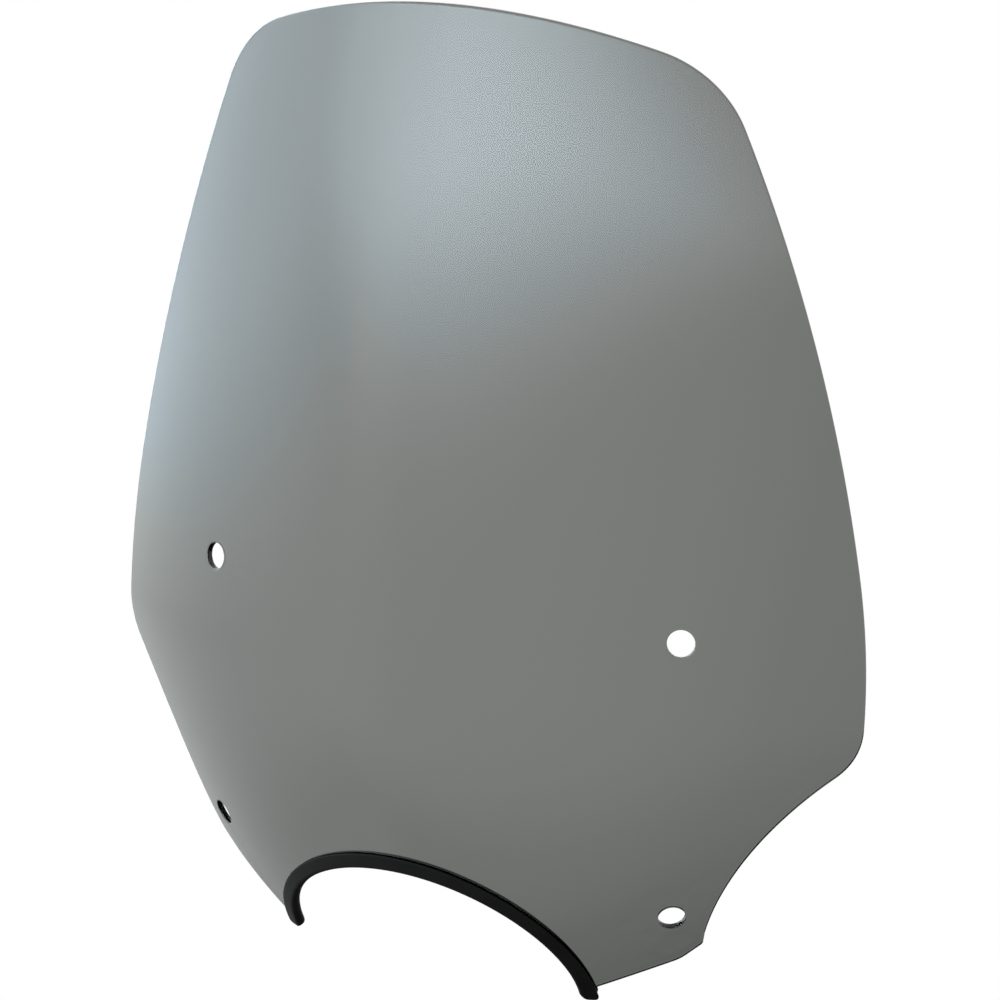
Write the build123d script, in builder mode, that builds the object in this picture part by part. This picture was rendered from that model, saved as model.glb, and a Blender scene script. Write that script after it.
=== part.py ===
"""Windshield screen for a motorcycle: a formed, smoke-tinted sheet and the rubber trim of its headlight cut-out.

Millimetres. +Z is up and +X is the right-hand side seen from the front. The bulging front face looks
along -Y and the rider sits on the +Y side. The origin is the centre of the overall box.
"""

from build123d import *
from math import cos, sin
import os

# ---------------------------------------------------------------- driving dimensions

# The front face's centre line is two tangent arcs: the upper one is hollow towards the front, and the
# lower one wraps back round the headlight. A "level" is a length along that line, measured from the
# upper mounting holes, where the face stands upright.
upright_point = (0, -23.67, -40.9)  # where level 0 is, in the part's frame
hollow_radius = 1600.0
wrap_radius = 290.0
wrap_level = -35.0  # the two arcs meet here

# Across the screen the front face is an arc, flattest at one level and tighter above and below it.
flattest_radius = 345.0
flattest_level = 65.0
tightening = 95.0  # the radius is smaller by this much...
tightening_reach = 205.0  # ...this far above or below the flattest level

section_levels = range(-240, 300, 20)
section_half_angle = 46.0  # degrees either side of the centre line

sheet_thickness = 3.0

# Outline in the front view, right-hand half: x from the centre line, z from the upright point.
top_height = 268.3
top_shoulder = (94.5, 256.4)
side_start = (129.3, 227.1)
side_middle = (189.7, 35.6)
side_end = (196.7, -34.0)
waist_start = (187.0, -57.2)
waist_middle = (157.2, -93.0)
waist_end = (132.8, -142.5)
tab_outer_corner = (130.9, -149.2)
tab_bend = (121.0, -158.8)
tab_foot = (80.0, -182.0)
tab_corner_radii = [4.0, 25.0, 1.0]

# Headlight cut-out: the upper half of an ellipse.
cutout_centre = (0, -183.0)
cutout_half_width = 78.2
cutout_height = 52.9

# Four mounting holes, square to the sheet, at these front-view places on both sides.
hole_radius = 6.35
upper_hole = (121.6, -0.6)
lower_hole = (121.2, -134.2)

# Edge trim: a U-channel that grips the cut-out's edge and runs on past the sheet's corners.
trim_wall = 1.2
trim_nose = 1.7  # rubber past the sheet's edge
trim_grip = 6.3  # how far the legs reach over the sheet

front_view = Plane(origin=upright_point, x_dir=(1, 0, 0), z_dir=(0, -1, 0))
view_depth = 150.0  # deeper than the formed screen, to both sides

# ---------------------------------------------------------------- formed surface


def section_plane(level):
    """The plane square to the centre line at LEVEL, with its x across the screen and its y to the rear."""
    turn_at_wrap = -wrap_level / hollow_radius
    if level >= wrap_level:
        turn = -level / hollow_radius
        rear = hollow_radius * (cos(turn) - 1)
        up = -hollow_radius * sin(turn)
    else:
        turn = turn_at_wrap + (level - wrap_level) / wrap_radius
        rear = hollow_radius * (cos(turn_at_wrap) - 1) + wrap_radius * (cos(turn_at_wrap) - cos(turn))
        up = -hollow_radius * sin(turn_at_wrap) + wrap_radius * (sin(turn) - sin(turn_at_wrap))
    origin = Vector(upright_point) + Vector(0, rear, up)
    return Plane(origin=origin, x_dir=(1, 0, 0), z_dir=(0, sin(turn), cos(turn)))


def section_radius(level):
    """Radius of the front face across the screen at LEVEL."""
    return flattest_radius - tightening * ((level - flattest_level) / tightening_reach) ** 2


def formed_face(outline, proud):
    """The front-view OUTLINE laid on the formed surface, standing PROUD of the sheet's front face."""
    block_depth = 12.0
    first_angle = 270.0 - section_half_angle
    with BuildPart() as block:
        for level in section_levels:
            radius = section_radius(level)
            with BuildSketch(section_plane(level)):
                with BuildLine():
                    front = CenterArc((0, radius), radius + proud, first_angle, 2 * section_half_angle)
                    back = CenterArc((0, radius), radius - block_depth, first_angle, 2 * section_half_angle)
                    Line(front @ 0, back @ 0)
                    Line(front @ 1, back @ 1)
                make_face()
        loft()
        extrude(outline, amount=view_depth, both=True, mode=Mode.INTERSECT)
    return block.faces().filter_by(GeomType.BSPLINE).sort_by(Axis.Y)[0]


def cutout_arc(outwards):
    """The cut-out's half ellipse moved OUTWARDS, away from the headlight."""
    half_width = cutout_half_width + outwards
    return EllipticalCenterArc(cutout_centre, half_width, cutout_height + outwards, 0, arc_size=180)


# ---------------------------------------------------------------- screen

with BuildSketch(front_view) as screen_outline:
    with BuildLine():
        top = TangentArc((0, top_height), top_shoulder, tangent=(1, 0))
        corner = TangentArc(top @ 1, side_start, tangent=top % 1)
        side = TangentArc(corner @ 1, side_middle, tangent=corner % 1)
        flank = TangentArc(side @ 1, side_end, tangent=side % 1)
        hip = TangentArc(flank @ 1, waist_start, tangent=flank % 1)
        waist = ThreePointArc(hip @ 1, waist_middle, waist_end)
        foot_centre = (0, tab_foot[1])  # the cut-out takes the sheet away here
        tab_points = [waist @ 1, tab_outer_corner, tab_bend, tab_foot, foot_centre]
        FilletPolyline(*tab_points, radius=tab_corner_radii)
        mirror(about=Plane.YZ)
    make_face()
    with Locations(cutout_centre):
        Ellipse(cutout_half_width, cutout_height, mode=Mode.SUBTRACT)

screen_face = formed_face(screen_outline.sketch, 0)

with BuildPart() as screen:
    thicken(screen_face, amount=sheet_thickness, normal_override=(0, 1, 0))
    for x, z in (upper_hole, lower_hole):
        for side_x in (-x, x):
            sight_line = Axis(front_view.from_local_coords((side_x, z)), (0, 1, 0))
            place, square = screen_face.find_intersection_points(sight_line)[0]
            with Locations(Plane(origin=place, z_dir=square)):
                Hole(hole_radius, depth=2 * sheet_thickness)

# ---------------------------------------------------------------- headlight trim

end_radius = (trim_grip + trim_nose) / 2  # the trim's ends are round

with BuildSketch(front_view) as trim_outline:
    with BuildLine():
        cutout_arc(trim_grip)
        cutout_arc(-trim_nose)
        for side in (-1, 1):
            end_centre = (side * (cutout_half_width + trim_grip - end_radius), cutout_centre[1])
            CenterArc(end_centre, end_radius, 180, 180)
    make_face()

# The channel is everything outside the cut-out that the legs could reach, down past the trim's ends.
channel_reach = 2 * trim_grip

with BuildSketch(front_view) as channel_outline:
    with BuildLine():
        outer = cutout_arc(channel_reach)
        inner = cutout_arc(0)
        for end in (0, 1):
            foot_line = [inner @ end, inner @ end - (0, channel_reach), outer @ end - (0, channel_reach)]
            Polyline(*foot_line, outer @ end)
    make_face()

trim_face = formed_face(trim_outline.sketch, trim_wall)
channel_face = formed_face(channel_outline.sketch, 0)

with BuildPart() as headlight_trim:
    thicken(trim_face, amount=sheet_thickness + 2 * trim_wall, normal_override=(0, 1, 0))
    thicken(channel_face, amount=sheet_thickness, normal_override=(0, 1, 0), mode=Mode.SUBTRACT)

# ---------------------------------------------------------------- export

screen.part.label = "screen"
headlight_trim.part.label = "headlight_trim"

os.makedirs("parts", exist_ok=True)
export_step(screen.part, "parts/screen.step")
export_step(headlight_trim.part, "parts/headlight_trim.step")
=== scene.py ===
# %% [markdown]
# # A motorcycle windshield screen
#
# The real object has two pieces: a sheet of smoke-tinted acrylic, cut flat and then formed hot over a
# mould, and a strip of rubber U-channel pushed onto the edge of the headlight cut-out. This lesson
# makes them the same way: each piece is made flat or straight first, and then bent over one mould.
#
# We start by loading the measured model. It is in metres, +Z up, with the front face towards -Y.

# %% Load the frame
import bpy
from math import asin, cos, pi, radians, sin, tan
from mathutils import Matrix, Vector
from mathutils.kdtree import KDTree


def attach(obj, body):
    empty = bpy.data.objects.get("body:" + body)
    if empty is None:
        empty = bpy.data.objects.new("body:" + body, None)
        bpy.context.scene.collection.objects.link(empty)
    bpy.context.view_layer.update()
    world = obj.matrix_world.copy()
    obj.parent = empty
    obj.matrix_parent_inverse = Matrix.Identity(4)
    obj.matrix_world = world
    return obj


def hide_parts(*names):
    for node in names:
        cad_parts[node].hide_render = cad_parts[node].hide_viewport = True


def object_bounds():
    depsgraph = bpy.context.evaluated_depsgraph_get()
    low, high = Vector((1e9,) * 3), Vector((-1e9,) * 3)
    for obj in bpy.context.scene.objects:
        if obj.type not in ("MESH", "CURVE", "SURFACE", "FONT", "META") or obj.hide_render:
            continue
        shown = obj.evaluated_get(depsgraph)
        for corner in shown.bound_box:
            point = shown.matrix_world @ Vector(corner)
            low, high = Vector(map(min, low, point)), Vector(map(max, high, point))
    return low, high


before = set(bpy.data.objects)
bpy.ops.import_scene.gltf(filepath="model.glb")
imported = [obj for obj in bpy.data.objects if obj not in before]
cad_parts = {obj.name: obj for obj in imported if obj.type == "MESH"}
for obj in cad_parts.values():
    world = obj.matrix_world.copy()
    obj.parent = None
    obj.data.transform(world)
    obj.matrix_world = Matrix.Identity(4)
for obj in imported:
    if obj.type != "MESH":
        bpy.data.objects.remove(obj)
cad_box = [list(corner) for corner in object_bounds()]
scene = bpy.context.scene
MM = 0.001

print("nodes:", sorted(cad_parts))
print("box:", [round((high - low) / MM, 1) for low, high in zip(*cad_box)], "mm")

# %% [markdown]
# ## The camera
#
# A product picture like this is taken with a long lens, from a little above and to one side, with the
# camera turned slightly about its own axis so that the screen leans. We put the camera on a sphere
# round a point near the middle of the sheet, aim it at that point and then roll it.

# %% Camera
aim = Vector((20.9, 11.1, 6.7)) * MM
azimuth, elevation, roll = radians(25.304), radians(9.160), radians(5.416)
distance = 1.2419
focal_length = 97.09  # millimetres, as Blender counts it

away = Vector((sin(azimuth) * cos(elevation), -cos(azimuth) * cos(elevation), sin(elevation)))
bpy.ops.object.camera_add(location=aim + away * distance)
camera = bpy.context.object
rolled = away.to_track_quat("Z", "Y").to_matrix() @ Matrix.Rotation(roll, 3, "Z")
camera.rotation_euler = rolled.to_euler()
camera.data.lens = focal_length
scene.camera = camera
print("camera at", [round(c, 3) for c in camera.location], "with a lens of", focal_length, "mm")

# %% [markdown]
# ## The mould
#
# The formed surface is simple to say in words. Its centre line, seen from the side, is two arcs: the
# upper one is very slightly hollow towards the front, and the lower one wraps back round the
# headlight. Across the screen the surface is an arc, flattest just above the mounting holes.
#
# `surface` gives the point of the front face behind a place (x, z) in the front view. Heights are
# counted from the point where the centre line stands plumb. `formed` adds the sheet's thickness: it
# takes a point of the flat work, whose y is a depth behind the front face, and bends it.

# %% Mould
upright = Vector((0, -23.67, -40.9)) * MM
hollow_radius, wrap_radius, wrap_level = 1600 * MM, 290 * MM, -35 * MM
flattest_radius, flattest_level = 345 * MM, 65 * MM
tightening, tightening_reach = 95 * MM, 205 * MM

SETTLING_ROUNDS = 10

turn_at_wrap = -wrap_level / hollow_radius
height_at_wrap = -hollow_radius * sin(turn_at_wrap)
rear_at_wrap = hollow_radius * (cos(turn_at_wrap) - 1)


def centre_line(height):
    """How far along the centre line HEIGHT is, how far to the rear, and how much the line is turned."""
    if height >= height_at_wrap:
        turn = -asin(height / hollow_radius)
        return -turn * hollow_radius, hollow_radius * (cos(turn) - 1), turn
    turn = asin(sin(turn_at_wrap) + (height - height_at_wrap) / wrap_radius)
    rear = rear_at_wrap + wrap_radius * (cos(turn_at_wrap) - cos(turn))
    return wrap_level + (turn - turn_at_wrap) * wrap_radius, rear, turn


def surface(x, z):
    """The point of the front face at the front-view place (x, z).

    The sections are square to the centre line, so the height of the right section depends on the
    depth that is looked for. A few rounds settle both.
    """
    height = z
    for _ in range(SETTLING_ROUNDS):
        level, rear, turn = centre_line(height)
        radius = flattest_radius - tightening * ((level - flattest_level) / tightening_reach) ** 2
        sink = radius * (1 - cos(asin(x / radius)))
        height = z + sink * sin(turn)
    return upright + Vector((x, rear + sink * cos(turn), z))


def square_to(x, z):
    """The direction square to the front face at (x, z), pointing into the sheet."""
    step = 0.5 * MM
    up = surface(x, z + step) - surface(x, z - step)
    right = surface(x + step, z) - surface(x - step, z)
    return up.cross(right).normalized()


def formed(place):
    """Where the mould puts PLACE, a point (x, depth, z) of the flat work."""
    x, depth, z = place
    return surface(x, z) + square_to(x, z) * depth


print("crown of the top edge:", [round(c / MM, 1) for c in formed((0, 0, 268.3 * MM))], "mm")

# %% [markdown]
# ## Selecting by place
#
# Operators act on whatever is selected, and loading the frame leaves its pieces selected. So every
# piece starts from a clean selection, and edges and faces are then picked by rules in code.

# %% Selection helpers
MODES = {"vertices": "VERT", "edges": "EDGE", "polygons": "FACE"}


def deselect_everything():
    if bpy.context.object and bpy.context.object.mode != "OBJECT":
        bpy.ops.object.mode_set(mode="OBJECT")
    bpy.ops.object.select_all(action="DESELECT")


def pick(kind, wanted, narrow=False):
    """In the edited mesh, select the vertices, edges or polygons that WANTED says yes to.

    With NARROW, only those that are selected already are asked about.
    """
    bpy.ops.mesh.select_mode(type=MODES[kind])
    bpy.ops.object.mode_set(mode="OBJECT")
    items = getattr(bpy.context.object.data, kind)
    chosen = [(item.select or not narrow) and wanted(item) for item in items]
    bpy.ops.object.mode_set(mode="EDIT")
    bpy.ops.mesh.select_all(action="DESELECT")
    bpy.ops.object.mode_set(mode="OBJECT")
    for item, yes in zip(getattr(bpy.context.object.data, kind), chosen):
        item.select = yes
    bpy.ops.object.mode_set(mode="EDIT")
    return sum(chosen)


def ends(edge):
    """The two end points of EDGE in the edited mesh."""
    return [bpy.context.object.data.vertices[corner].co for corner in edge.vertices]


def bend(piece, rule):
    """Move every vertex of PIECE to where RULE puts it."""
    for vertex in piece.data.vertices:
        vertex.co = rule(vertex.co)
    piece.data.update()


# %% [markdown]
# ## Drawing the outline with a pen
#
# A pattern maker draws this outline as a chain of arcs that run smoothly into each other. An arc that
# leaves a point in a known direction and ends at another point is fully known, so the pen below needs
# only the end of each arc. It holds one selected vertex. Spin sweeps the vertex round the arc's
# centre and leaves a line of edges behind, and extrude draws a straight run.
#
# The view is from the front, x to the right and z up. Spin turns clockwise about its axis as seen
# against the axis, so for the viewer in front a left turn is a spin about +Y.

# %% Pen
TO_THE_REAR = (0, 1, 0)


class Pen:
    """Draws a line of edges in the front view. Places are in millimetres, and so is SPACING."""

    def __init__(self, place, heading, spacing):
        self.place, self.heading, self.spacing = Vector(place) * MM, Vector(heading), spacing * MM
        bpy.ops.mesh.primitive_plane_add(size=MM, location=(self.place.x, 0, self.place.y))
        bpy.ops.object.mode_set(mode="EDIT")
        bpy.ops.mesh.select_mode(type="VERT")
        bpy.ops.mesh.select_all(action="SELECT")
        bpy.ops.mesh.merge(type="CENTER")

    def arc(self, end):
        """Sweep an arc that leaves along the heading and ends at END."""
        end = Vector(end) * MM
        chord = end - self.place
        half_turn = -self.heading.angle_signed(chord)
        left = Vector((-self.heading.y, self.heading.x))
        radius = chord.length / (2 * sin(half_turn))
        centre = self.place + left * radius
        steps = max(2, round(abs(2 * half_turn * radius) / self.spacing))
        bpy.ops.mesh.spin(steps=steps, angle=2 * half_turn, center=(centre.x, 0, centre.y), axis=TO_THE_REAR)
        self.place, self.heading = end, Matrix.Rotation(2 * half_turn, 2) @ self.heading

    def arc_through(self, middle, end):
        """Sweep the arc through MIDDLE to END, whatever direction it leaves in."""
        first_half, second_half = Vector(middle) * MM - self.place, Vector(end) * MM - Vector(middle) * MM
        half_turn = -first_half.angle_signed(second_half)
        self.heading = (Matrix.Rotation(-half_turn, 2) @ (first_half + second_half)).normalized()
        self.arc(end)

    def line(self, end):
        """Draw a straight run to END in short steps."""
        run = Vector(end) * MM - self.place
        steps = max(1, round(run.length / self.spacing))
        for _ in range(steps):
            step = run / steps
            bpy.ops.mesh.extrude_region_move(TRANSFORM_OT_translate={"value": (step.x, 0, step.y)})
        self.place, self.heading = self.place + run, run.normalized()

    def corner(self, at, towards, radius):
        """Draw to the corner AT, rounded with RADIUS, and set off TOWARDS the next one."""
        going = (Vector(at) * MM - self.place).normalized()
        leaving = (Vector(towards) - Vector(at)).normalized()
        back_off = radius * tan(abs(going.angle_signed(leaving)) / 2)
        self.line(Vector(at) - going * back_off)
        self.arc(Vector(at) + leaving * back_off)


# %% [markdown]
# The pen starts at the middle of the top edge and goes clockwise, down the right-hand side. Its last
# stretch is the headlight cut-out, the upper half of an ellipse. The sheet's foot meets the cut-out in
# a small round corner, which the rubber trim will hide.

# %% Outline
TOP_HEIGHT = 268.3
TOP_SHOULDER, SIDE_START, SIDE_MIDDLE, SIDE_END = (94.5, 256.4), (129.3, 227.1), (189.7, 35.6), (196.7, -34.0)
WAIST_START, WAIST_MIDDLE, WAIST_END = (187.0, -57.2), (157.2, -93.0), (132.8, -142.5)
TAB_CORNER, TAB_BEND, TAB_FOOT = (130.9, -149.2), (121.0, -158.8), (80.0, -182.0)
TAB_CORNER_RADIUS, TAB_BEND_RADIUS, FOOT_RADIUS = 4, 25, 3.2
CUTOUT_CENTRE, CUTOUT_HALF_WIDTH, CUTOUT_HEIGHT = -183.0, 78.2, 52.9
CUTOUT_STEPS = 56
FOOT_STEPS = 4  # the foot's corner takes up this many steps of the cut-out
foot_turn = asin((TAB_FOOT[1] - CUTOUT_CENTRE) / CUTOUT_HEIGHT)


def on_cutout(step):
    """The point of the cut-out STEP steps up from the sheet's foot."""
    turn = foot_turn + (pi / 2 - foot_turn) * step / CUTOUT_STEPS
    return CUTOUT_HALF_WIDTH * cos(turn), CUTOUT_CENTRE + CUTOUT_HEIGHT * sin(turn)


deselect_everything()
pen = Pen(place=(0, TOP_HEIGHT), heading=(1, 0), spacing=1.8)
for end in (TOP_SHOULDER, SIDE_START, SIDE_MIDDLE, SIDE_END, WAIST_START):
    pen.arc(end)
pen.arc_through(WAIST_MIDDLE, WAIST_END)
pen.corner(at=TAB_CORNER, towards=TAB_BEND, radius=TAB_CORNER_RADIUS)
pen.corner(at=TAB_BEND, towards=TAB_FOOT, radius=TAB_BEND_RADIUS)
pen.corner(at=on_cutout(0), towards=on_cutout(FOOT_STEPS), radius=FOOT_RADIUS)
for step in range(FOOT_STEPS, CUTOUT_STEPS + 1):
    pen.line(on_cutout(step))

bpy.ops.object.mode_set(mode="OBJECT")
bpy.ops.object.transform_apply(location=True, rotation=True, scale=True)
screen = bpy.context.object
screen.name = "screen_sheet"
outline = [vertex.co.xz for vertex in screen.data.vertices]
print(len(outline), "points in half the outline")

# %% [markdown]
# ## From outline to blank
#
# Mirror makes the other half. The closed line is filled with one big face, and two insets leave
# rings of even quads along the edge, so that the edge can be rounded and shades cleanly. The big
# face is then taken out again and the middle is filled with square cells small enough to bend well.

# %% Rings along the outline
bpy.ops.object.modifier_add(type="MIRROR")
screen.modifiers["Mirror"].merge_threshold = 0.05 * MM  # joins the halves only on the centre line
bpy.ops.object.modifier_apply(modifier="Mirror")

bpy.ops.object.mode_set(mode="EDIT")
bpy.ops.mesh.select_all(action="SELECT")
bpy.ops.mesh.edge_face_add()
RING_WIDTHS = [1.0 * MM, 2.0 * MM]
for ring_width in RING_WIDTHS:
    bpy.ops.mesh.inset(thickness=ring_width)
bpy.ops.mesh.delete(type="ONLY_FACE")
bpy.ops.object.mode_set(mode="OBJECT")
print(len(screen.data.polygons), "quads in the rings")

# %% [markdown]
# The mounting holes are round and square to the *bent* sheet. So each circle is drawn on the mould,
# where it belongs, and then flattened into the front view, where it comes out slightly oval. Two
# scaled extrusions give each hole its own rings.

# %% Mounting holes
HOLE_RADIUS = 6.35 * MM
UPPER_HOLE, LOWER_HOLE = (121.6, -0.6), (121.2, -134.2)
HOLE_RINGS = [1.15, 1.5]  # their sizes, as multiples of the hole's
HOLE_POINTS = 48
hole_places = [(side * x * MM, z * MM) for x, z in (UPPER_HOLE, LOWER_HOLE) for side in (-1, 1)]

bpy.ops.object.mode_set(mode="EDIT")
for x, z in hole_places:
    tilt = square_to(x, z).to_track_quat("Z", "Y").to_euler()
    place = surface(x, z)
    bpy.ops.mesh.primitive_circle_add(vertices=HOLE_POINTS, radius=HOLE_RADIUS, location=place, rotation=tilt)
    bpy.ops.transform.resize(value=(1, 0, 1), center_override=(0, 0, 0))
    bpy.ops.transform.translate(value=(0, 0, z - place.z))
    grown = 1
    for ring in HOLE_RINGS:
        bpy.ops.mesh.extrude_region_move()
        bpy.ops.transform.resize(value=(ring / grown, 1, ring / grown), center_override=(x, 0, z))
        grown = ring
bpy.ops.object.mode_set(mode="OBJECT")
print(len(hole_places), "holes at", [tuple(round(c / MM, 1) for c in place) for place in hole_places])

# %% [markdown]
# `clearance` says how far inside the outline a place is. Grid points that come too close to the
# rings or the holes are deleted, and Fill closes the gap that is left with triangles.

# %% Grid
nearest = KDTree(len(outline))
for index, point in enumerate(outline):
    nearest.insert((point.x, 0, point.y), index)
nearest.balance()


def clearance(x, z):
    """Distance from (x, z) to the outline, negative outside it."""
    _, index, distance = nearest.find((abs(x), 0, z))
    before, after = outline[max(index - 1, 0)], outline[min(index + 1, len(outline) - 1)]
    inwards = Vector(((after - before).y, -(after - before).x))
    return distance if inwards.dot(Vector((abs(x), z)) - outline[index]) > 0 else -distance


def hole_clearance(x, z):
    """Distance from (x, z) to the centre of the nearest mounting hole."""
    return min((Vector((x, z)) - Vector(place)).length for place in hole_places)


CELL = 6 * MM
COLUMNS, ROWS = 66, 76
GRID_CENTRE = (0, 0, 43 * MM)
GAP = 2.6 * MM  # between the grid and the innermost ring
outline_gap = sum(RING_WIDTHS) + GAP
hole_gap = HOLE_RADIUS * HOLE_RINGS[-1] + GAP


def too_close(vertex):
    x, _, z = vertex.co
    return clearance(x, z) < outline_gap or hole_clearance(x, z) < hole_gap


bpy.ops.object.mode_set(mode="EDIT")
bpy.ops.mesh.primitive_grid_add(
    x_subdivisions=COLUMNS, y_subdivisions=ROWS, size=1, location=GRID_CENTRE, rotation=(pi / 2, 0, 0)
)
bpy.ops.transform.resize(value=(COLUMNS * CELL, 1, ROWS * CELL), center_override=GRID_CENTRE)
print(pick("vertices", too_close, narrow=True), "grid points deleted")
bpy.ops.mesh.delete(type="VERT")
bpy.ops.mesh.select_mode(type="EDGE")
bpy.ops.mesh.select_all(action="DESELECT")
bpy.ops.mesh.select_loose()
bpy.ops.mesh.delete(type="EDGE")

# %% Fill the gap


def on_an_edge(place):
    """Whether PLACE is a point of the outline or of a mounting hole."""
    _, _, distance = nearest.find((abs(place.x), 0, place.z))
    return distance < 0.1 * MM or hole_clearance(place.x, place.z) < HOLE_RADIUS * 1.05


def round_the_gap(edge):
    return not all(on_an_edge(end) for end in ends(edge))


bpy.ops.mesh.select_mode(type="EDGE")
bpy.ops.mesh.select_non_manifold(extend=False, use_wire=False, use_multi_face=False, use_non_contiguous=False)
print(pick("edges", round_the_gap, narrow=True), "edges round the gap")
bpy.ops.mesh.fill(use_beauty=True)
bpy.ops.object.mode_set(mode="OBJECT")
blank_area = sum(face.area for face in screen.data.polygons)
print(len(screen.data.polygons), "faces in the flat blank,", round(blank_area / MM**2), "square mm")

# %% [markdown]
# ## Thickness, rounded edges and forming
#
# The blank is pushed back by the sheet's thickness, which closes it into a solid. Its sharp edges are
# then rounded a little, as polishing does after the cutter has left them sharp. Last, every point is
# bent over the mould. As the mould counts depth square to the surface, the sheet keeps its thickness
# everywhere.

# %% Thickness and edges
THICKNESS = 3.0 * MM
EDGE_ROUNDING = 0.5 * MM
SHARP = radians(60)


def along_a_face(edge):
    """Whether EDGE lies in the front or the back of the flat sheet, and not across its edge."""
    first, second = ends(edge)
    return abs(first.y - second.y) < 0.1 * MM


bpy.ops.object.mode_set(mode="EDIT")
bpy.ops.mesh.select_mode(type="FACE")
bpy.ops.mesh.select_all(action="SELECT")
bpy.ops.mesh.normals_make_consistent(inside=False)
bpy.ops.mesh.extrude_region_move(TRANSFORM_OT_translate={"value": (0, THICKNESS, 0)})
bpy.ops.mesh.select_all(action="SELECT")
bpy.ops.mesh.normals_make_consistent(inside=False)

bpy.ops.mesh.select_mode(type="EDGE")
bpy.ops.mesh.select_all(action="DESELECT")
bpy.ops.mesh.edges_select_sharp(sharpness=SHARP)
print(pick("edges", along_a_face, narrow=True), "sharp edges to round")
bpy.ops.mesh.bevel(offset=EDGE_ROUNDING, segments=3, clamp_overlap=False)
bpy.ops.object.mode_set(mode="OBJECT")

# %% Forming
bend(screen, formed)
bpy.ops.object.shade_smooth_by_angle(angle=radians(40))
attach(screen, "root")
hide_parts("screen")
print(len(screen.data.polygons), "faces,", [round(side / MM, 1) for side in screen.dimensions], "mm")


# %% [markdown]
# ## The headlight trim
#
# Edge trim comes as a straight rubber U-channel on a roll. It is cut to length and pushed over the
# sheet's edge, and it bends as it goes. We do the same: the pen draws the U-shaped section, extrude
# pulls it out into a straight strip, and a rule then wraps the strip round the cut-out and over the
# mould. The strip lies along y; its x is the depth behind the sheet's front face, and its z is the
# distance outwards from the sheet's edge.

# %% Trim section
WALL, NOSE, GRIP = 1.2, 1.7, 6.3  # leg thickness, rubber past the sheet's edge, reach over the sheet
SLACK = 0.05  # keeps the rubber from sharing the sheet's surface
NOSE_RADIUS, LIP_OUTSIDE_RADIUS, LIP_INSIDE_RADIUS, SLOT_RADIUS = 2.3, 0.55, 0.45, 0.5
front, back = -WALL, THICKNESS / MM + WALL
slot_front, slot_back, slot_floor = -SLACK, THICKNESS / MM + SLACK, -SLACK
middle = (front + back) / 2

deselect_everything()
pen = Pen(place=(middle, -NOSE), heading=(1, 0), spacing=0.7)
section = [
    ((back, -NOSE), NOSE_RADIUS),
    ((back, GRIP), LIP_OUTSIDE_RADIUS),
    ((slot_back, GRIP), LIP_INSIDE_RADIUS),
    ((slot_back, slot_floor), SLOT_RADIUS),
    ((slot_front, slot_floor), SLOT_RADIUS),
    ((slot_front, GRIP), LIP_INSIDE_RADIUS),
    ((front, GRIP), LIP_OUTSIDE_RADIUS),
    ((front, -NOSE), NOSE_RADIUS),
]
corners = [place for place, _ in section] + [(middle, -NOSE)]
for (place, radius), following in zip(section, corners[1:]):
    pen.corner(at=place, towards=following, radius=radius)
pen.line((middle, -NOSE))
bpy.ops.mesh.select_all(action="SELECT")
bpy.ops.mesh.remove_doubles(threshold=0.01 * MM)
bpy.ops.mesh.edge_face_add()
bpy.ops.object.mode_set(mode="OBJECT")
bpy.ops.object.transform_apply(location=True, rotation=True, scale=True)
trim = bpy.context.object
trim.name = "headlight_edge_trim"
print(len(trim.data.vertices), "points in the U-shaped section,", len(trim.data.polygons), "face")

# %% [markdown]
# The straight strip is made about as long as the half ellipse, and wrapping takes up the rest. Past
# both ends a few shrinking extrusions make the soft, rounded tips that a worn rubber end has.

# %% Straight strip
BENDING_RADIUS = 68 * MM
half_run = BENDING_RADIUS * pi / 2
tip_radius = (GRIP + NOSE) / 2 * MM
TIP_STEPS = 7
TIP_TURN = radians(84)  # how far round the dome the last step is
TIP_FLATNESS = 0.55  # below 1, the tip stays thicker than it is wide
RUN_CUTS = 119
section_middle = Vector((middle, 0, (GRIP - NOSE) / 2)) * MM


def runs_along(edge):
    first, second = ends(edge)
    return abs(first.y - second.y) > half_run


bpy.ops.object.mode_set(mode="EDIT")
bpy.ops.mesh.select_all(action="SELECT")
bpy.ops.transform.translate(value=(0, -half_run, 0))
bpy.ops.mesh.extrude_region_move(TRANSFORM_OT_translate={"value": (0, 2 * half_run, 0)})
print(pick("edges", runs_along), "long edges")
bpy.ops.mesh.subdivide(number_cuts=RUN_CUTS)

for side in (-1, 1):
    pick("polygons", lambda face: face.normal.y * side > 0.9 and face.center.y * side > half_run - MM)
    size, reach = 1, 0
    for step in range(1, TIP_STEPS + 1):
        turn = step / TIP_STEPS * TIP_TURN
        new_size, new_reach = cos(turn), tip_radius * sin(turn)
        bpy.ops.mesh.extrude_region_move(TRANSFORM_OT_translate={"value": (0, side * (new_reach - reach), 0)})
        narrower = new_size / size
        thinner = narrower ** TIP_FLATNESS
        bpy.ops.transform.resize(value=(thinner, 1, narrower), center_override=section_middle)
        size, reach = new_size, new_reach
bpy.ops.mesh.select_all(action="SELECT")
bpy.ops.mesh.normals_make_consistent(inside=False)
bpy.ops.object.mode_set(mode="OBJECT")
print("strip:", [round(side / MM, 1) for side in trim.dimensions], "mm")

# %% Round the cut-out


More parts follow.
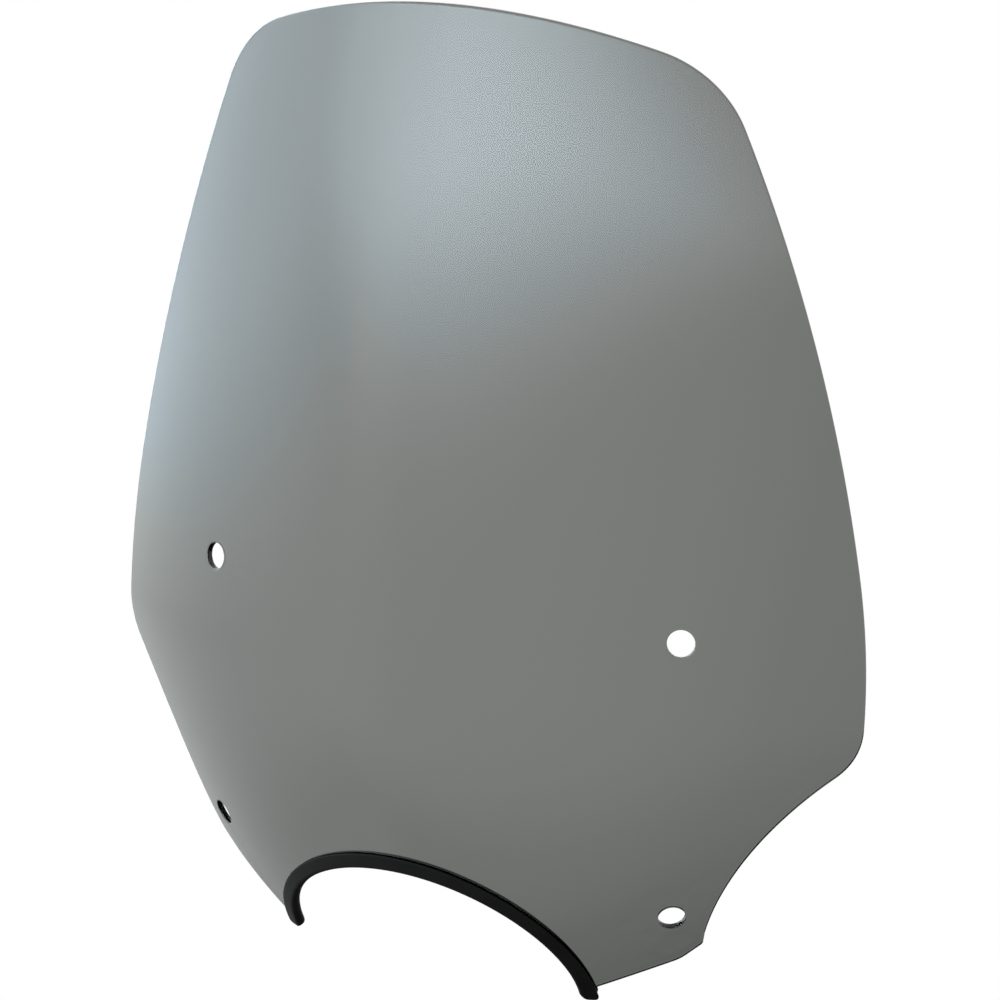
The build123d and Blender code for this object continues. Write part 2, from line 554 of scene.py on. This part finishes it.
def pushed_on(place):
    """Where PLACE of the straight strip goes when the strip is pushed onto the cut-out's edge.

    The tips, past the half ellipse, run straight down.
    """
    depth, along, outwards = place
    kept = max(-half_run, min(half_run, along))
    turn = pi / 2 + kept / BENDING_RADIUS
    x = (CUTOUT_HALF_WIDTH * MM + outwards) * cos(turn)
    z = CUTOUT_CENTRE * MM + (CUTOUT_HEIGHT * MM + outwards) * sin(turn) - abs(along - kept)
    return formed((x, depth, z))


bend(trim, pushed_on)
bpy.ops.object.shade_smooth_by_angle(angle=radians(50))
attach(trim, "root")
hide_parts("headlight_trim")
print(len(trim.data.polygons), "faces,", [round(side / MM, 1) for side in trim.dimensions], "mm")


# %% [markdown]
# ## Writing shaders as sums
#
# A finish is easier to read as arithmetic than as a picture of boxes. `Wire` wraps one socket, and an
# expression on wires adds the Math nodes for it. `Tree.node` adds any other node: its settings come
# first, then the values or wires of its sockets.

# %% Shader arithmetic


class Wire:
    """One output socket of a Tree that can be used in arithmetic."""

    def __init__(self, tree, socket):
        self.tree, self.socket = tree, socket

    def calculate(self, operation, *values):
        return self.tree.node("Math", {"operation": operation}, *values)

    def __add__(self, other):
        return self.calculate("ADD", self, other)

    def __sub__(self, other):
        return self.calculate("SUBTRACT", self, other)

    def __rsub__(self, other):
        return self.calculate("SUBTRACT", other, self)

    def __mul__(self, other):
        return self.calculate("MULTIPLY", self, other)

    def __truediv__(self, other):
        return self.calculate("DIVIDE", self, other)

    __radd__, __rmul__ = __add__, __mul__


class Tree:
    """A node tree that starts with only its output node."""

    def __init__(self, owner, output):
        owner.use_nodes = True
        self.nodes, self.links = owner.node_tree.nodes, owner.node_tree.links
        self.nodes.clear()
        self.output = self.nodes.new(output)

    def plug(self, socket, value):
        """Give SOCKET a value, or link a wire to it."""
        if isinstance(value, Wire):
            self.links.new(value.socket, socket)
        else:
            socket.default_value = value

    def node(self, kind, settings=None, *values, **inputs):
        """Add a node. VALUES fill its sockets in order, INPUTS by name with _ for a space."""
        node = self.nodes.new("ShaderNode" + kind)
        for name, value in (settings or {}).items():
            setattr(node, name, value)
        for socket, value in zip(node.inputs, values):
            self.plug(socket, value)
        for name, value in inputs.items():
            self.plug(socket_called(node.inputs, name), value)
        self.last = node
        return Wire(self, next(socket for socket in node.outputs if socket.enabled))

    def output_of(self, name):
        """Another output of the node that was added last."""
        return Wire(self, self.last.outputs[name])

    def mix_colours(self, factor, first, second):
        return self.node("Mix", {"data_type": "RGBA"}, Factor=factor, A=first, B=second)

    def finish(self, **sockets):
        for name, value in sockets.items():
            self.plug(self.output.inputs[name], value)


def socket_called(sockets, name):
    return next(socket for socket in sockets if socket.enabled and socket.name == name.replace("_", " "))


# %% [markdown]
# ## Smoke-tinted acrylic
#
# The tint is in the body of the sheet and not on its surface, so it is made as absorption: about a
# sixth of the light gets through 3 mm, and light that runs along the sheet towards an edge or a
# hole's wall is swallowed. That gives the dark edges and holes without painting them. The surface is
# polished, with a trace of forming ripple and of wiping marks that only the reflections show.

# %% Smoke acrylic
ABSORPTION = 585  # per metre, at a colour of 0
ACRYLIC_IOR = 1.49

smoke = bpy.data.materials.new("smoke_acrylic")
tree = Tree(smoke, "ShaderNodeOutputMaterial")
tree.node("TexCoord")
place = tree.output_of("Object")
cloud = tree.node("TexNoise", Vector=place, Scale=7.0, Detail=2.0, Roughness=0.5)
strokes = tree.node("Mapping", Vector=place, Scale=(40, 40, 400))  # wiped from side to side
wiping = tree.node("TexNoise", Vector=strokes, Scale=1.0, Detail=3.0)
ripple = tree.node("TexNoise", Vector=place, Scale=14.0, Detail=1.0, Roughness=0.4)
tint = tree.mix_colours(cloud, (0.975, 0.985, 0.98, 1), (1, 1, 1, 1))
body = tree.node(
    "BsdfPrincipled", Base_Color=tint, Roughness=0.012 + 0.02 * wiping, IOR=ACRYLIC_IOR,
    Transmission_Weight=1.0, Normal=tree.node("Bump", Strength=0.02, Distance=0.002, Height=ripple),
)
depth_tint = tree.node("VolumeAbsorption", Color=(0.010, 0.029, 0.0, 1), Density=ABSORPTION)
tree.finish(Surface=body, Volume=depth_tint)
screen.data.materials.append(smoke)
print("smoke acrylic:", len(smoke.node_tree.nodes), "nodes")

# %% [markdown]
# ## Black edge rubber
#
# Extruded rubber is a dull black that mirrors very little. It is a trace lighter and rougher in
# patches where it has been handled, and it has a very fine grain.

# %% Edge rubber
rubber = bpy.data.materials.new("edge_rubber")
tree = Tree(rubber, "ShaderNodeOutputMaterial")
tree.node("TexCoord")
place = tree.output_of("Object")
grain = tree.node("TexNoise", Vector=place, Scale=2600.0, Detail=3.0, Roughness=0.6)
handling = tree.node("TexNoise", Vector=place, Scale=90.0, Detail=3.0, Roughness=0.55)
black = tree.mix_colours(handling, (0.0025, 0.0027, 0.0024, 1), (0.0055, 0.0056, 0.0053, 1))
skin = tree.node(
    "BsdfPrincipled", Base_Color=black, Roughness=0.46 + 0.16 * handling, IOR=1.52, Specular_IOR_Level=0.07,
    Normal=tree.node("Bump", Strength=0.25, Distance=0.0002, Height=grain),
)
tree.finish(Surface=skin)
trim.data.materials.append(rubber)
print("edge rubber:", len(rubber.node_tree.nodes), "nodes")

# %% [markdown]
# ## Floor and background
#
# The picture is taken on white paper that runs up behind the screen, so the floor and everything
# behind are one even white. Emission gives the paper exactly that white, without a shadow. The world
# is the same white for the camera and for light that has come through the sheet, and grey where a
# glossy surface mirrors it, because a studio is mostly unlit.

# %% Floor and world
PAPER_WIDTH = 12
UNLIT_STUDIO = 0.9

bpy.ops.mesh.primitive_plane_add(size=PAPER_WIDTH, location=(0, 0, cad_box[0][2]))
floor = bpy.context.object
floor.name = "floor"
paper = bpy.data.materials.new("white_paper")
tree = Tree(paper, "ShaderNodeOutputMaterial")
tree.finish(Surface=tree.node("Emission", Color=(1, 1, 1, 1), Strength=1.0))
floor.data.materials.append(paper)
floor.visible_glossy = False

world = bpy.data.worlds.new("studio")
scene.world = world
tree = Tree(world, "ShaderNodeOutputWorld")
tree.node("LightPath")
mirrored = tree.output_of("Is Glossy Ray") * (1 - tree.output_of("Is Transmission Ray"))
strength = 1 - (1 - UNLIT_STUDIO) * mirrored
tree.finish(Surface=tree.node("Background", Color=(1, 1, 1, 1), Strength=strength))
scene.view_settings.view_transform = "Standard"
print("white paper at z =", round(cad_box[0][2], 4))

# %% [markdown]
# ## What the sheet mirrors
#
# A glossy sheet shows its surroundings as much as its own colour. Here that is a long soft light low
# in front, brightest to the left, over a studio that gets darker to the right, with a pale wall on the
# left and a dark floor. They are cards with a painted glow. Only reflections see them, so they don't
# light the paper.
#
# Places on the cards are in metres. `rise` goes smoothly from 0 to 1, and `bell` is a soft spot round
# a centre.

# %% Painting with light


def rise(tree, value, start, end):
    smoothly = {"interpolation_type": "SMOOTHSTEP"}
    return tree.node("MapRange", smoothly, Value=value, From_Min=start, From_Max=end)


def bell(tree, distance, width):
    """1 at a distance of 0, falling away on both sides over WIDTH."""
    squared = distance * distance / (width * width)
    return tree.node("Math", {"operation": "EXPONENT"}, -1 * squared)


def card(name, centre, size, turned, glow):
    """A card that only reflections see. GLOW gives its light and blueness from x, y and z wires."""
    bpy.ops.mesh.primitive_plane_add(size=1, location=centre, rotation=turned)
    piece = bpy.context.object
    piece.name = name
    piece.scale = (*size, 1)
    bpy.ops.object.transform_apply(location=True, rotation=True, scale=True)
    material = bpy.data.materials.new(name)
    tree = Tree(material, "ShaderNodeOutputMaterial")
    tree.node("TexCoord")
    tree.node("SeparateXYZ", Vector=tree.output_of("Object"))
    light, blueness = glow(tree, *(tree.output_of(axis) for axis in "XYZ"))
    colour = tree.mix_colours(blueness, (0.95, 1.0, 0.99, 1), (0.84, 1.0, 1.10, 1))
    tree.finish(Surface=tree.node("Emission", Color=colour, Strength=light))
    piece.data.materials.append(material)
    piece.visible_camera = piece.visible_diffuse = piece.visible_transmission = piece.visible_shadow = False


# %% [markdown]
# The wall and the long light are mirrored in both the front card and the left one, so each has its own
# function. On the front card the light follows a line that climbs a little to the right, and on the
# left card it runs on from the corner where the two cards meet, climbing towards the rear.

# %% What the cards show
FRONT_CARD, LEFT_CARD, FLOOR_CARD = -1.0, -1.0, -3.5  # where the cards stand, on y, on x and on z
LONG_LIGHT, LONG_LIGHT_X, LONG_LIGHT_Z = 7.0, -0.42, -0.079
SLOPE, CORNER_SLOPE = 0.085, 0.35  # how the long light climbs to the right, and round the corner
SHARP_SIDE, SOFT_SIDE = 0.058, 0.120  # how fast it fades below and above
CORNER_LIGHT = 2.7
WALL_DIM, WALL_GAIN = 1.85, 2.3
STUDIO_MIDDLE, STUDIO_FALL, STUDIO_MOST, STUDIO_LEAST = 1.05, 0.7, 1.55, 0.3
FLOOR_LIGHT = 0.05
corner_z = LONG_LIGHT_Z + SLOPE * LEFT_CARD


def wall(tree, z):
    """The pale wall's light at the height Z, dim towards the floor."""
    return (WALL_DIM + WALL_GAIN * rise(tree, z, -0.32, -0.03)) * (0.6 + 0.4 * rise(tree, z, -1.1, -0.4))


def streak(tree, off_centre):
    """The long light seen across its length: it ends sharply below and fades slowly above."""
    above = tree.node("Math", {"operation": "GREATER_THAN"}, off_centre, 0)
    return above * bell(tree, off_centre, SOFT_SIDE) + (1 - above) * bell(tree, off_centre, SHARP_SIDE)


def front_glow(tree, x, y, z):
    spread = 0.6 + 0.3 * rise(tree, x, -0.6, -0.3)
    band = LONG_LIGHT * bell(tree, x - LONG_LIGHT_X, spread) * streak(tree, z - LONG_LIGHT_Z - SLOPE * x)
    studio = tree.node("Math", {"operation": "MINIMUM"}, STUDIO_MIDDLE - STUDIO_FALL * x, STUDIO_MOST)
    studio = tree.node("Math", {"operation": "MAXIMUM"}, studio, STUDIO_LEAST)
    studio = studio * (0.45 + 0.55 * rise(tree, z, -1.3, -0.45))
    open_side = rise(tree, x, LEFT_CARD, -0.55)
    light = open_side * studio + (1 - open_side) * wall(tree, z) + band
    return light * (0.04 + 0.96 * rise(tree, z, -3.2, -1.2)), rise(tree, band, 0.0, 3.0)


def left_glow(tree, x, y, z):
    behind = y - FRONT_CARD
    corner = CORNER_LIGHT * bell(tree, behind, 0.25) * streak(tree, z - corner_z - CORNER_SLOPE * behind)
    light = wall(tree, z) * (1 - 0.75 * rise(tree, y, -0.1, 1.6)) + corner
    return light * (0.04 + 0.96 * rise(tree, z, -3.2, -1.0)), rise(tree, light, 1.9, 3.5)


def floor_glow(tree, x, y, z):
    return FLOOR_LIGHT, 0.0


# %% Reflected cards
RIGHT_END, REAR_END, TOP_END = 9, 6, 1
width, depth, height = RIGHT_END - LEFT_CARD, REAR_END - FRONT_CARD, TOP_END - FLOOR_CARD
middle_x, middle_y, middle_z = LEFT_CARD + width / 2, FRONT_CARD + depth / 2, FLOOR_CARD + height / 2

card("front_card", (middle_x, FRONT_CARD, middle_z), (width, height), (pi / 2, 0, 0), front_glow)
card("left_card", (LEFT_CARD, middle_y, middle_z), (depth, height), (pi / 2, 0, pi / 2), left_glow)
card("floor_card", (middle_x, middle_y, FLOOR_CARD), (width, depth), (0, 0, 0), floor_glow)
print("cards at y =", FRONT_CARD, ", x =", LEFT_CARD, "and z =", FLOOR_CARD)

# %% [markdown]
# ## The measured box
#
# The box of the measured model is printed in millimetres.

# %% Finish
print("measured box", [[round(c / MM, 2) for c in corner] for corner in cad_box])
